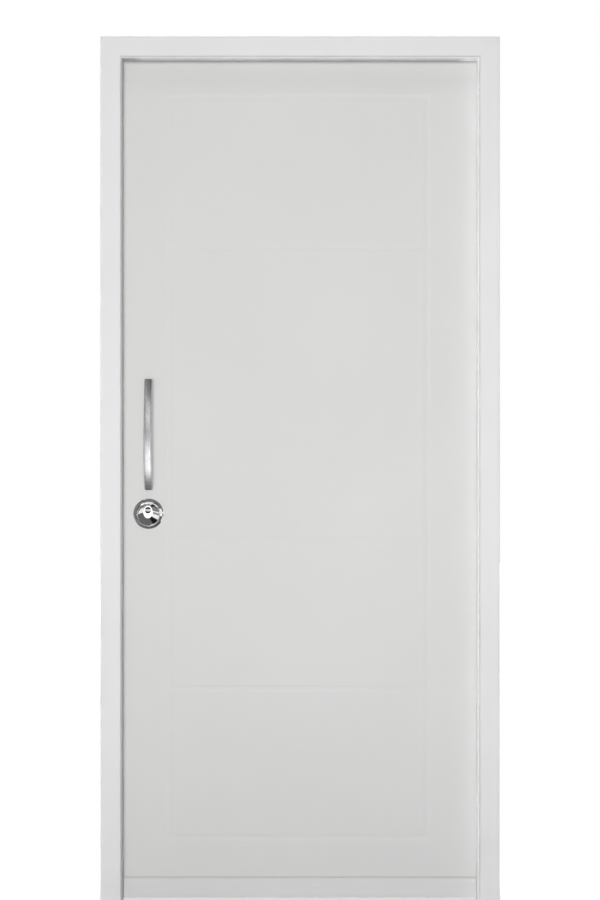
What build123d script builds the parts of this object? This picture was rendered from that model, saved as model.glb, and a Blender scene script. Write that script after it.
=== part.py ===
# Inward-opening steel security door: a pressed sheet-steel leaf hung in a mitred steel frame.
# X runs along the wall towards the hinges, Y into the building and Z up.
# The origin is on the hinge jamb's wall face, at floor level, halfway through the frame's depth.
import os
from math import asin, cos, degrees, pi, sqrt

from build123d import *

# Frame, one closed pressed section for both jambs and the head
frame_width = 960
frame_height = 2085
frame_sheet = 2
face_width = 48
lip_step = 2
lip_step_run = 1
lip_width = 3.5
lip_slope = 0.5
reveal_lean = 0.5
stop_depth = 25
stop_cover = 15
front_bend = 4
back_bend = 3
lip_bend = 1.2

# Leaf and the gaps round it
leaf_thickness = 50
stop_gap = 5
edge_gap = 8
floor_gap = 6
skin_sheet = 1.5
channel_sheet = 2
channel_depth = 60

# Pressed groove pattern, four panels inside a border
groove_width = 20
groove_depth = 0.8
groove_slope = 8
groove_wall_steps = 4
lock_margin = 117
hinge_margin = 126
top_margin = 94
bottom_margin = 93
lower_panel_height = 360
second_panel_height = 361
top_panel_height = 365

# Strip along the foot of the leaf
strip_height = 48
strip_joint = 6
strip_thickness = 2.5
strip_corner = 3
strip_side_gap = 0.5

# Rubber gasket on the stop
gasket_width = 8
gasket_edge = 1.5
gasket_play = 0.5
gasket_round = 1.5

# Wall anchors and dog bolts
anchor_radius = 5.5
anchor_access_radius = 10
anchor_count = 4
anchor_floor_distance = 130
anchor_top_distance = 185
dog_bolt_radius = 6.5
dog_bolt_reach = 16
dog_bolt_from_hinge = 150
dog_bolt_socket_play = 6.5
dog_bolt_head_radius = 11
dog_bolt_head_height = 3
dog_bolt_chamfer = 1.5
dog_bolt_hole_play = 0.05

# Lift-off hinges
hinge_end_distance = 250
knuckle_radius = 12
knuckle_height = 60
knuckle_stand_off = 5
pivot_past_edge = 5
hinge_leg = 5
hinge_plate = 4
frame_plate_width = 30
leaf_plate_width = 35
pin_radius = 6
pin_play = 0.05
pin_seat_play = 0.02
pin_flange_radius = 11
pin_flange_height = 2
pin_flange_play = 0.2
knuckle_cap = 4
pin_end_play = 1
knuckle_chamfer = 1

# Lock gear in the leaf's edge
backset = 67
plug_height = 946
forend_length = 250
forend_width = 24
forend_thickness = 3
gear_window_margin = 3
gear_window_end_margin = 10
gear_window_corner = 4
dead_bolt_count = 3
dead_bolt_radius = 7.5
dead_bolt_pitch = 30
dead_bolt_length = 34
bolt_play = 0.3
bolt_set_back = 0.5
latch_width = 12
latch_height = 20
latch_bevel = 5
strike_width = 34
strike_thickness = 3
strike_window_width = 22
strike_bolt_play = 1.5

# Round security escutcheon and the key plug in it
escutcheon_radius = 36.5
escutcheon_rim = 1.5
escutcheon_bevel_radius = 20
escutcheon_shoulder_radius = 28.5
escutcheon_shoulder_height = 7
escutcheon_groove = 1.5
dome_radius = 27
dome_height = 13.5
dome_top_width = 22
dome_top_height = 31
dome_top_rise = 5
dome_round = 1.5
plug_above_centre = 9
plug_radius = 9
plug_play = 0.05
plug_end_play = 0.3
plug_lip = 2.5
plug_window_radius = 8
plug_bar_width = 12
plug_bar_height = 5
plug_bar_raise = 1.2
keyway_width = 9
keyway_height = 2
keyway_depth = 8

# Bowed pull handle on two round feet
handle_above_lock = 23
handle_offset = 3.5
bow_length = 265
bow_rise = 14
bow_clearance = 26
bow_width = 20
bow_thickness = 9
bow_corner = 4.4
bow_end_round = 2
foot_radius = 6
foot_spacing = 210

# Inside furniture
rosette_radius = 26
rosette_thickness = 8
rosette_round = 2
turn_length = 36
turn_thickness = 11
turn_height = 22
turn_round = 2
lever_rise = 85
lever_neck_radius = 9
lever_reach = 50
lever_length = 118
lever_overhang = 11
lever_height = 20
lever_thickness = 13
lever_round = 5

# Sizes that follow from these
frame_depth = stop_depth + stop_gap + leaf_thickness
front_y = -frame_depth / 2
back_y = frame_depth / 2
stop_y = front_y + stop_depth
lip_start = face_width + lip_step_run
lip_end = lip_start + lip_width
lip_end_y = front_y + lip_step + lip_slope
lip_reach = lip_end + reveal_lean
rebate_reach = lip_reach - stop_cover
leaf_face_y = stop_y + stop_gap
leaf_back_y = leaf_face_y + leaf_thickness
leaf_middle_y = (leaf_face_y + leaf_back_y) / 2
core_thickness = leaf_thickness - 2 * skin_sheet
lock_wall_x = -frame_width
rebate_lock_x = lock_wall_x + rebate_reach
rebate_hinge_x = -rebate_reach
lock_edge_x = rebate_lock_x + edge_gap
hinge_edge_x = rebate_hinge_x - edge_gap
leaf_width = hinge_edge_x - lock_edge_x
leaf_bottom_z = floor_gap
leaf_top_z = frame_height - rebate_reach - edge_gap
leaf_height = leaf_top_z - leaf_bottom_z
skin_bottom_z = leaf_bottom_z + strip_height + strip_joint
pivot_x = hinge_edge_x + pivot_past_edge
pivot_y = leaf_back_y + knuckle_stand_off + knuckle_radius
lower_hinge_z = leaf_bottom_z + hinge_end_distance
upper_hinge_z = leaf_top_z - hinge_end_distance
middle_hinge_z = (lower_hinge_z + upper_hinge_z) / 2
hinge_heights = {"lower": lower_hinge_z, "middle": middle_hinge_z, "upper": upper_hinge_z}
dog_bolt_heights = [
    lower_hinge_z + dog_bolt_from_hinge,
    middle_hinge_z - dog_bolt_from_hinge,
    middle_hinge_z + dog_bolt_from_hinge,
    upper_hinge_z - dog_bolt_from_hinge,
]
anchor_top_z = frame_height - anchor_top_distance
anchor_pitch = (anchor_top_z - anchor_floor_distance) / (anchor_count - 1)
anchor_heights = [anchor_floor_distance + anchor_pitch * step for step in range(anchor_count)]
lock_x = lock_edge_x + backset
lever_z = plug_height + lever_rise
escutcheon_z = plug_height - plug_above_centre
handle_height = escutcheon_z + escutcheon_radius + handle_above_lock + bow_length / 2
dead_bolt_heights = [plug_height - dead_bolt_pitch * (step + 1) for step in range(dead_bolt_count)]
gear_window_length = forend_length - 2 * gear_window_end_margin
strike_length = gear_window_length + 2 * gear_window_end_margin

os.makedirs("parts", exist_ok=True)


def mitre(x, z, outward, upward):
    """Plane at 45 degrees through the corner (x, z) of a frame, facing the upright member."""
    return Plane(origin=(x, 0, z), z_dir=(outward, 0, upward))


def edge_plane(x, z, facing):
    """Plane on an upright face at mid-leaf; local x runs through the leaf and local y along Z."""
    return Plane(origin=(x, leaf_middle_y, z), x_dir=(0, facing, 0), z_dir=(facing, 0, 0))


def face_plane(y, x=0, z=0):
    """Plane parallel to the wall, facing outdoors; local x is X and local y is Z."""
    return Plane(origin=(x, y, z), x_dir=(1, 0, 0), z_dir=(0, -1, 0))


def frame_section(plane):
    """Closed frame section, its lip set back and its stop leaning; local x in from the wall, y to the back."""
    with BuildSketch(plane) as section:
        with BuildLine():
            Polyline(
                (0, front_y),
                (face_width, front_y),
                (lip_start, front_y + lip_step),
                (lip_end, lip_end_y),
                (lip_reach, stop_y),
                (rebate_reach, stop_y),
                (rebate_reach, back_y),
                (0, back_y),
                close=True,
            )
        make_face()
        offset(amount=-frame_sheet, kind=Kind.INTERSECTION, mode=Mode.SUBTRACT)
        bends = {
            (0, front_y): front_bend,
            (0, back_y): back_bend,
            (rebate_reach, back_y): back_bend,
            (face_width, front_y): lip_bend,
            (lip_end, lip_end_y): lip_bend,
            (lip_reach, stop_y): lip_bend,
        }
        for corner, radius in bends.items():
            fillet(section.vertices().sort_by_distance(corner)[0], radius=radius)
    return section.sketch


def gasket_section(plane):
    """Rubber strip on the back of the stop, its leaf side rounded."""
    with BuildSketch(plane) as section:
        with Locations((lip_reach - gasket_edge, stop_y)):
            Rectangle(gasket_width, stop_gap - gasket_play, align=(Align.MAX, Align.MIN))
        fillet(section.vertices().group_by(Axis.Y)[-1], radius=gasket_round)
    return section.sketch


def channel_section(plane):
    """U section with its web on the leaf's edge; local x in from the edge, local y through the leaf."""
    with BuildSketch(plane) as section:
        with Locations((0, leaf_middle_y)):
            Rectangle(channel_depth, core_thickness, align=(Align.MIN, Align.CENTER))
        with Locations((channel_sheet, leaf_middle_y)):
            Rectangle(
                channel_depth - channel_sheet,
                core_thickness - 2 * channel_sheet,
                align=(Align.MIN, Align.CENTER),
                mode=Mode.SUBTRACT,
            )
    return section.sketch


# Frame: the three members meet on mitres at the top corners
hinge_jamb_plane = Plane(origin=(0, 0, 0), x_dir=(-1, 0, 0), z_dir=(0, 0, -1))
lock_jamb_plane = Plane(origin=(lock_wall_x, 0, 0), x_dir=(1, 0, 0), z_dir=(0, 0, 1))
head_plane = Plane(origin=(lock_wall_x, 0, frame_height), x_dir=(0, 0, -1), z_dir=(1, 0, 0))
hinge_mitre = mitre(0, frame_height, 1, -1)
lock_mitre = mitre(lock_wall_x, frame_height, -1, -1)
cut_depth = 2 * frame_sheet

with BuildPart() as hinge_jamb:
    extrude(frame_section(hinge_jamb_plane), amount=-frame_height)
    split(bisect_by=hinge_mitre, keep=Keep.TOP)
    with Locations(*[edge_plane(0, z, 1) for z in anchor_heights]):
        Hole(anchor_radius, depth=cut_depth)
    with Locations(*[edge_plane(rebate_hinge_x, z, -1) for z in anchor_heights]):
        Hole(anchor_access_radius, depth=cut_depth)
    with Locations(*[edge_plane(rebate_hinge_x, z, -1) for z in dog_bolt_heights]):
        Hole(dog_bolt_radius + dog_bolt_socket_play, depth=cut_depth)
hinge_jamb.part.label = "hinge_jamb"
export_step(hinge_jamb.part, "parts/hinge_jamb.step")

with BuildPart() as lock_jamb:
    extrude(frame_section(lock_jamb_plane), amount=frame_height)
    split(bisect_by=lock_mitre, keep=Keep.TOP)
    with Locations(*[edge_plane(lock_wall_x, z, -1) for z in anchor_heights]):
        Hole(anchor_radius, depth=cut_depth)
    with Locations(*[edge_plane(rebate_lock_x, z, 1) for z in anchor_heights]):
        Hole(anchor_access_radius, depth=cut_depth)
    with BuildSketch(edge_plane(rebate_lock_x, plug_height, 1)):
        RectangleRounded(strike_window_width, gear_window_length, gear_window_corner)
    extrude(amount=-cut_depth, mode=Mode.SUBTRACT)
lock_jamb.part.label = "lock_jamb"
export_step(lock_jamb.part, "parts/lock_jamb.step")

with BuildPart() as head_jamb:
    extrude(frame_section(head_plane), amount=frame_width)
    split(bisect_by=hinge_mitre, keep=Keep.BOTTOM)
    split(bisect_by=lock_mitre, keep=Keep.BOTTOM)
head_jamb.part.label = "head_jamb"
export_step(head_jamb.part, "parts/head_jamb.step")

# Gasket: three lengths of rubber on the stop, mitred like the frame
with BuildPart() as hinge_jamb_gasket:
    extrude(gasket_section(hinge_jamb_plane), amount=-frame_height)
    split(bisect_by=hinge_mitre, keep=Keep.TOP)
hinge_jamb_gasket.part.label = "hinge_jamb_gasket"
export_step(hinge_jamb_gasket.part, "parts/hinge_jamb_gasket.step")

with BuildPart() as lock_jamb_gasket:
    extrude(gasket_section(lock_jamb_plane), amount=frame_height)
    split(bisect_by=lock_mitre, keep=Keep.TOP)
lock_jamb_gasket.part.label = "lock_jamb_gasket"
export_step(lock_jamb_gasket.part, "parts/lock_jamb_gasket.step")

with BuildPart() as head_gasket:
    extrude(gasket_section(head_plane), amount=frame_width)
    split(bisect_by=hinge_mitre, keep=Keep.BOTTOM)
    split(bisect_by=lock_mitre, keep=Keep.BOTTOM)
head_gasket.part.label = "head_gasket"
export_step(head_gasket.part, "parts/head_gasket.step")

# Strike plate: welded behind a window in the lock jamb, with sockets for the bolts and the latch
strike_face_x = rebate_lock_x - frame_sheet
with BuildPart() as strike_plate:
    with BuildSketch(edge_plane(strike_face_x, plug_height, 1)):
        Rectangle(strike_width, strike_length)
    extrude(amount=-strike_thickness)
    with Locations(*[edge_plane(strike_face_x, z, 1) for z in dead_bolt_heights]):
        Hole(dead_bolt_radius + strike_bolt_play, depth=strike_thickness)
    with BuildSketch(edge_plane(strike_face_x, lever_z, 1)):
        Rectangle(latch_width + 2 * strike_bolt_play, latch_height + 2 * strike_bolt_play)
    extrude(amount=-strike_thickness, mode=Mode.SUBTRACT)
strike_plate.part.label = "strike_plate"
export_step(strike_plate.part, "parts/strike_plate.step")

# Leaf edge: U channels mitred into a closed frame
lower_lock_mitre = mitre(lock_edge_x, leaf_bottom_z, -1, 1)
upper_lock_mitre = mitre(lock_edge_x, leaf_top_z, -1, -1)
lower_hinge_mitre = mitre(hinge_edge_x, leaf_bottom_z, 1, 1)
upper_hinge_mitre = mitre(hinge_edge_x, leaf_top_z, 1, -1)
web_cut = 2 * channel_sheet

with BuildPart() as lock_stile:
    stile_plane = Plane(origin=(lock_edge_x, 0, leaf_bottom_z), x_dir=(1, 0, 0), z_dir=(0, 0, 1))
    extrude(channel_section(stile_plane), amount=leaf_height)
    split(bisect_by=lower_lock_mitre, keep=Keep.TOP)
    split(bisect_by=upper_lock_mitre, keep=Keep.TOP)
    with BuildSketch(edge_plane(lock_edge_x, plug_height, -1)):
        RectangleRounded(forend_width - 2 * gear_window_margin, gear_window_length, gear_window_corner)
    extrude(amount=-web_cut, mode=Mode.SUBTRACT)
lock_stile.part.label = "lock_stile"
export_step(lock_stile.part, "parts/lock_stile.step")

with BuildPart() as hinge_stile:
    stile_plane = Plane(origin=(hinge_edge_x, 0, leaf_bottom_z), x_dir=(-1, 0, 0), z_dir=(0, 0, -1))
    extrude(channel_section(stile_plane), amount=-leaf_height)
    split(bisect_by=lower_hinge_mitre, keep=Keep.TOP)
    split(bisect_by=upper_hinge_mitre, keep=Keep.TOP)
    with Locations(*[edge_plane(hinge_edge_x, z, 1) for z in dog_bolt_heights]):
        Hole(dog_bolt_radius + dog_bolt_hole_play, depth=web_cut)
hinge_stile.part.label = "hinge_stile"
export_step(hinge_stile.part, "parts/hinge_stile.step")

with BuildPart() as top_rail:
    rail_plane = Plane(origin=(lock_edge_x, 0, leaf_top_z), x_dir=(0, 0, -1), z_dir=(1, 0, 0))
    extrude(channel_section(rail_plane), amount=leaf_width)
    split(bisect_by=upper_lock_mitre, keep=Keep.BOTTOM)
    split(bisect_by=upper_hinge_mitre, keep=Keep.BOTTOM)
top_rail.part.label = "top_rail"
export_step(top_rail.part, "parts/top_rail.step")

with BuildPart() as bottom_rail:
    rail_plane = Plane(origin=(lock_edge_x, 0, leaf_bottom_z), x_dir=(0, 0, 1), z_dir=(-1, 0, 0))
    extrude(channel_section(rail_plane), amount=-leaf_width)
    split(bisect_by=lower_lock_mitre, keep=Keep.BOTTOM)
    split(bisect_by=lower_hinge_mitre, keep=Keep.BOTTOM)
bottom_rail.part.label = "bottom_rail"
export_step(bottom_rail.part, "parts/bottom_rail.step")

# Groove pattern: groove centre lines of the border and of the cross grooves
border_left_x = lock_edge_x + lock_margin
border_right_x = hinge_edge_x - hinge_margin
border_middle_x = (border_left_x + border_right_x) / 2
border_width = border_right_x - border_left_x
border_bottom_z = skin_bottom_z + bottom_margin
border_top_z = leaf_top_z - top_margin
cross_groove_heights = [
    border_bottom_z,
    border_bottom_z + lower_panel_height,
    border_bottom_z + lower_panel_height + second_panel_height,
    border_top_z - top_panel_height,
    border_top_z,
]


def pressed_block(surface_y, inward, low_z, high_z, spread):
    """Block from the sheet's surface to the groove floor; its smooth S-shaped sides lean by spread."""
    with BuildPart() as block:
        for step in range(groove_wall_steps + 1):
            share = step / groove_wall_steps
            depth = groove_depth * (1 - cos(pi * share)) / 2
            growth = spread * (groove_width / 2 - groove_slope * share)
            with BuildSketch(face_plane(surface_y + inward * depth, border_middle_x, (low_z + high_z) / 2)):
                Rectangle(border_width + 2 * growth, high_z - low_z + 2 * growth)
        loft(ruled=True)
    return block.part


def groove_network(surface_y, inward):
    """Grooves left between the border's outer walls and the four raised panels."""
    border = pressed_block(surface_y, inward, border_bottom_z, border_top_z, 1)
    panels = [
        pressed_block(surface_y, inward, low_z, high_z, -1)
        for low_z, high_z in zip(cross_groove_heights, cross_groove_heights[1:])
    ]
    with BuildPart() as network:
        add(border)
        add(panels, mode=Mode.SUBTRACT)
    return network.part


def skin_sketch(y):
    """Full-width sheet above the joint of the bottom strip."""
    with BuildSketch(face_plane(y, lock_edge_x, skin_bottom_z)) as sheet:
        Rectangle(leaf_width, leaf_top_z - skin_bottom_z, align=Align.MIN)
    return sheet.sketch


# Skins: the pattern is pressed into both sheets, so the grooves stand out on their hidden sides
outer_grooves = groove_network(leaf_face_y, 1)
outer_ridges = groove_network(leaf_face_y + skin_sheet, 1)
with BuildPart() as outer_skin:
    extrude(skin_sketch(leaf_face_y), amount=-skin_sheet)
    add(outer_ridges)
    add(outer_grooves, mode=Mode.SUBTRACT)
outer_skin.part.label = "outer_skin"
export_step(outer_skin.part, "parts/outer_skin.step")

inner_grooves = groove_network(leaf_back_y, -1)
inner_ridges = groove_network(leaf_back_y - skin_sheet, -1)
with BuildPart() as inner_skin:
    extrude(skin_sketch(leaf_back_y), amount=skin_sheet)
    add(inner_ridges)
    add(inner_grooves, mode=Mode.SUBTRACT)
inner_skin.part.label = "inner_skin"
export_step(inner_skin.part, "parts/inner_skin.step")

# Bottom strips: flat bars on the bottom rail, one on each face of the leaf
strip_width = frame_width - 2 * (lip_reach + strip_side_gap)
strip_middle_x = lock_wall_x + frame_width / 2
strip_middle_z = leaf_bottom_z + strip_height / 2

with BuildPart() as bottom_strip_outside:
    with BuildSketch(face_plane(leaf_face_y + skin_sheet, strip_middle_x, strip_middle_z)):
        RectangleRounded(strip_width, strip_height, strip_corner)
    extrude(amount=strip_thickness)
bottom_strip_outside.part.label = "bottom_strip_outside"
export_step(bottom_strip_outside.part, "parts/bottom_strip_outside.step")

with BuildPart() as bottom_strip_inside:
    with BuildSketch(face_plane(leaf_back_y - skin_sheet, strip_middle_x, strip_middle_z)):
        RectangleRounded(strip_width, strip_height, strip_corner)
    extrude(amount=-strip_thickness)
bottom_strip_inside.part.label = "bottom_strip_inside"
export_step(bottom_strip_inside.part, "parts/bottom_strip_inside.step")

# Hinges: the leaf half of each drops over a pin that stands in the frame half
for position, hinge_z in hinge_heights.items():
    flange_bottom_z = hinge_z - pin_flange_height / 2
    flange_top_z = hinge_z + pin_flange_height / 2
    leaf_knuckle_z = flange_top_z + pin_flange_play
    bore_depth = knuckle_height - knuckle_cap

    with BuildPart() as frame_half:
        with BuildSketch(Plane.XY.offset(flange_bottom_z)):
            with Locations((pivot_x, pivot_y)):
                Circle(knuckle_radius)
        extrude(amount=-knuckle_height)
        chamfer(frame_half.faces().sort_by(Axis.Z)[0].edges(), knuckle_chamfer)
        with BuildSketch(Plane.XY.offset(flange_bottom_z)):
            with Locations((pivot_x + knuckle_radius, back_y)):
                Rectangle(hinge_leg, pivot_y - back_y, align=(Align.MAX, Align.MIN))
            with Locations((pivot_x + knuckle_radius - hinge_leg, back_y)):
                Rectangle(frame_plate_width, hinge_plate, align=(Align.MIN, Align.MIN))
        extrude(amount=-knuckle_height)
        with Locations((pivot_x, pivot_y, flange_bottom_z)):
            Hole(pin_radius + pin_seat_play, depth=bore_depth)
    frame_half.part.label = f"{position}_hinge_frame_half"
    export_step(frame_half.part, f"parts/{position}_hinge_frame_half.step")

    with BuildPart() as pin:
        with BuildSketch(Plane.XY.offset(flange_bottom_z - bore_depth + pin_end_play)):
            with Locations((pivot_x, pivot_y)):
                Circle(pin_radius)
        extrude(amount=2 * (bore_depth - pin_end_play) + pin_flange_height)
        with BuildSketch(Plane.XY.offset(flange_bottom_z)):
            with Locations((pivot_x, pivot_y)):
                Circle(pin_flange_radius)
        extrude(amount=pin_flange_height)
    pin.part.label = f"{position}_hinge_pin"
    export_step(pin.part, f"parts/{position}_hinge_pin.step")

    with BuildPart() as leaf_half:
        with BuildSketch(Plane.XY.offset(leaf_knuckle_z)):
            with Locations((pivot_x, pivot_y)):
                Circle(knuckle_radius)
        extrude(amount=knuckle_height)
        chamfer(leaf_half.faces().sort_by(Axis.Z)[-1].edges(), knuckle_chamfer)
        with BuildSketch(Plane.XY.offset(leaf_knuckle_z)):
            with Locations((pivot_x - knuckle_radius, leaf_back_y)):
                Rectangle(hinge_leg, pivot_y - leaf_back_y, align=(Align.MIN, Align.MIN))
            with Locations((pivot_x - knuckle_radius + hinge_leg, leaf_back_y)):
                Rectangle(leaf_plate_width, hinge_plate, align=(Align.MAX, Align.MIN))
        extrude(amount=knuckle_height)
        with Locations(Plane(origin=(pivot_x, pivot_y, leaf_knuckle_z), z_dir=(0, 0, -1))):
            Hole(pin_radius + pin_play, depth=bore_depth)
    leaf_half.part.label = f"{position}_hinge_leaf_half"
    export_step(leaf_half.part, f"parts/{position}_hinge_leaf_half.step")

# Dog bolts: studs in the hinge edge that stand in sockets of the jamb while the leaf is shut
with BuildPart() as dog_bolts:
    with BuildSketch(*[edge_plane(hinge_edge_x - channel_sheet, z, 1) for z in dog_bolt_heights]):
        Circle(dog_bolt_radius)
    extrude(amount=dog_bolt_reach + channel_sheet)
    chamfer(dog_bolts.faces().group_by(Axis.X)[-1].edges(), dog_bolt_chamfer)
    with BuildSketch(*[edge_plane(hinge_edge_x - channel_sheet, z, 1) for z in dog_bolt_heights]):
        Circle(dog_bolt_head_radius)
    extrude(amount=-dog_bolt_head_height)
dog_bolts.part.label = "dog_bolts"
export_step(dog_bolts.part, "parts/dog_bolts.step")

# Lock gear: a forend behind a window in the leaf's edge, with the bolts drawn back in it
forend_face_x = lock_edge_x + channel_sheet
bolt_end_x = lock_edge_x + bolt_set_back
with BuildPart() as lock_forend:
    with BuildSketch(edge_plane(forend_face_x, plug_height, -1)):
        Rectangle(forend_width, forend_length)
    extrude(amount=-forend_thickness)
    with Locations(*[edge_plane(forend_face_x, z, -1) for z in dead_bolt_heights]):
        Hole(dead_bolt_radius + bolt_play, depth=forend_thickness)
    with BuildSketch(edge_plane(forend_face_x, lever_z, -1)):
        Rectangle(latch_width + 2 * bolt_play, latch_height + 2 * bolt_play)
    extrude(amount=-forend_thickness, mode=Mode.SUBTRACT)
lock_forend.part.label = "lock_forend"
export_step(lock_forend.part, "parts/lock_forend.step")

with BuildPart() as dead_bolts:
    with BuildSketch(*[edge_plane(bolt_end_x, z, -1) for z in dead_bolt_heights]):
        Circle(dead_bolt_radius)
    extrude(amount=-dead_bolt_length)
    chamfer(dead_bolts.faces().group_by(Axis.X)[0].edges(), bolt_set_back)
dead_bolts.part.label = "dead_bolts"
export_step(dead_bolts.part, "parts/dead_bolts.step")

with BuildPart() as latch_bolt:
    with BuildSketch(edge_plane(bolt_end_x, lever_z, -1)):
        Rectangle(latch_width, latch_height)
    extrude(amount=-dead_bolt_length)
    latch_nose = latch_bolt.faces().sort_by(Axis.X)[0]
    chamfer(latch_nose.edges().sort_by(Axis.Y)[-1], length=latch_bevel)
latch_bolt.part.label = "latch_bolt"
export_step(latch_bolt.part, "parts/latch_bolt.step")

# Escutcheon: a turned base with a rounded rim, and a dome drawn out to an oval face round the key plug
lock_axis = Axis((lock_x, leaf_face_y, escutcheon_z), (0, 1, 0))
with BuildPart() as lock_escutcheon:
    turning_plane = Plane(origin=(lock_x, leaf_face_y, escutcheon_z), x_dir=(1, 0, 0), z_dir=(0, 0, -1))
    with BuildSketch(turning_plane):
        with BuildLine():
            groove_floor = escutcheon_shoulder_height - escutcheon_groove
            Line((0, 0), (escutcheon_radius, 0))
            Line((escutcheon_radius, 0), (escutcheon_radius, escutcheon_rim))
            RadiusArc(
                (escutcheon_radius, escutcheon_rim),
                (escutcheon_shoulder_radius, escutcheon_shoulder_height),
                escutcheon_bevel_radius,
            )
            Line((escutcheon_shoulder_radius, escutcheon_shoulder_height), (dome_radius, groove_floor))
            Line((dome_radius, groove_floor), (0, groove_floor))
            Line((0, groove_floor), (0, 0))
        make_face()
    revolve(axis=lock_axis)
    with BuildSketch(face_plane(leaf_face_y - groove_floor, lock_x, escutcheon_z)):
        Circle(dome_radius)
    with BuildSketch(face_plane(leaf_face_y - dome_height, lock_x, escutcheon_z + dome_top_rise)):
        Ellipse(dome_top_width / 2, dome_top_height / 2)
    loft()
    fillet(lock_escutcheon.faces().sort_by(Axis.Y)[0].edges(), radius=dome_round)
    with Locations(Plane(origin=(lock_x, leaf_face_y, plug_height), x_dir=(1, 0, 0), z_dir=(0, 1, 0))):
        CounterBoreHole(
            radius=plug_window_radius,
            counter_bore_radius=plug_radius + plug_play,
            counter_bore_depth=dome_height - plug_lip,
            depth=dome_height,
        )
lock_escutcheon.part.label = "lock_escutcheon"
export_step(lock_escutcheon.part, "parts/lock_escutcheon.step")

# Key plug: turns behind the escutcheon's lip, with a keyway in its raised bar
plug_back_y = leaf_face_y - plug_end_play
plug_front_y = leaf_face_y - (dome_height - plug_lip) + plug_end_play
with BuildPart() as key_plug:
    with BuildSketch(face_plane(plug_back_y, lock_x, plug_height)):
        Circle(plug_radius)
    extrude(amount=plug_back_y - plug_front_y)
    with BuildSketch(face_plane(plug_front_y, lock_x, plug_height)):
        Rectangle(plug_bar_width, plug_bar_height)
    extrude(amount=plug_bar_raise)
    with BuildSketch(face_plane(plug_front_y - plug_bar_raise, lock_x, plug_height)):
        Rectangle(keyway_width, keyway_height)
    extrude(amount=-keyway_depth, mode=Mode.SUBTRACT)
key_plug.part.label = "key_plug"
export_step(key_plug.part, "parts/key_plug.step")

# Pull handle: a bar bowed on one arc, standing off the leaf on two round feet cut to its back
handle_x = lock_x + handle_offset
bow_end_y = leaf_face_y - bow_clearance - bow_thickness / 2
bow_radius = ((bow_length / 2) ** 2 + bow_rise**2) / (2 * bow_rise)
bow_centre_y = bow_end_y - bow_rise + bow_radius
bow_half_angle = degrees(asin(bow_length / 2 / bow_radius))
with BuildPart() as pull_handle_bow:
    with BuildLine(Plane.YZ.offset(handle_x)) as bow_line:
        CenterArc((bow_centre_y, handle_height), bow_radius, 180 - bow_half_angle, 2 * bow_half_angle)
    with BuildSketch(Plane(origin=bow_line.line @ 0, x_dir=(1, 0, 0), z_dir=bow_line.line % 0)):
        RectangleRounded(bow_width, bow_thickness, bow_corner)
    sweep(path=bow_line.line)
    bow_ends = pull_handle_bow.faces().sort_by(Axis.Z)
    fillet(bow_ends[0].edges() + bow_ends[-1].edges(), radius=bow_end_round)
pull_handle_bow.part.label = "pull_handle_bow"
export_step(pull_handle_bow.part, "parts/pull_handle_bow.step")

foot_tip_y = bow_centre_y - sqrt(bow_radius**2 - (foot_spacing / 2) ** 2)
for position, end in {"upper": 1, "lower": -1}.items():
    with BuildPart() as foot:
        with BuildSketch(face_plane(leaf_face_y, handle_x, handle_height + end * foot_spacing / 2)):
            Circle(foot_radius)
        extrude(amount=leaf_face_y - foot_tip_y)
        add(pull_handle_bow.part, mode=Mode.SUBTRACT)
    foot.part.label = f"pull_handle_{position}_foot"
    export_step(foot.part, f"parts/pull_handle_{position}_foot.step")

# Inside furniture: a thumb turn on the lock's axis and a lever above it, each on a round rosette
rosette_face_y = leaf_back_y + rosette_thickness
for name, rosette_z in {"inside_lock_rosette": plug_height, "lever_rosette": lever_z}.items():
    with BuildPart() as rosette:
        with BuildSketch(face_plane(leaf_back_y, lock_x, rosette_z)):
            Circle(rosette_radius)
        extrude(amount=-rosette_thickness)
        fillet(rosette.faces().sort_by(Axis.Y)[-1].edges(), radius=rosette_round)
    rosette.part.label = name
    export_step(rosette.part, f"parts/{name}.step")

with BuildPart() as thumb_turn:
    with BuildSketch(face_plane(rosette_face_y, lock_x, plug_height)):
        SlotOverall(turn_length, turn_thickness, rotation=90)
    extrude(amount=-turn_height)
    fillet(thumb_turn.faces().sort_by(Axis.Y)[-1].edges(), radius=turn_round)
thumb_turn.part.label = "thumb_turn"
export_step(thumb_turn.part, "parts/thumb_turn.step")

lever_middle_y = rosette_face_y + lever_reach - lever_thickness / 2
with BuildPart() as inside_lever:
    with BuildSketch(Plane.YZ.offset(lock_x - lever_overhang)):
        with Locations((lever_middle_y, lever_z)):
            Rectangle(lever_thickness, lever_height)
    extrude(amount=lever_overhang + lever_length)
    fillet(inside_lever.edges(), radius=lever_round)
    with BuildSketch(face_plane(rosette_face_y, lock_x, lever_z)):
        Circle(lever_neck_radius)
    extrude(amount=rosette_face_y - lever_middle_y)
inside_lever.part.label = "inside_lever"
export_step(inside_lever.part, "parts/inside_lever.step")
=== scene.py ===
# Steel security door in its frame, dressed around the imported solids. All sizes are in metres.
from math import radians

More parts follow.
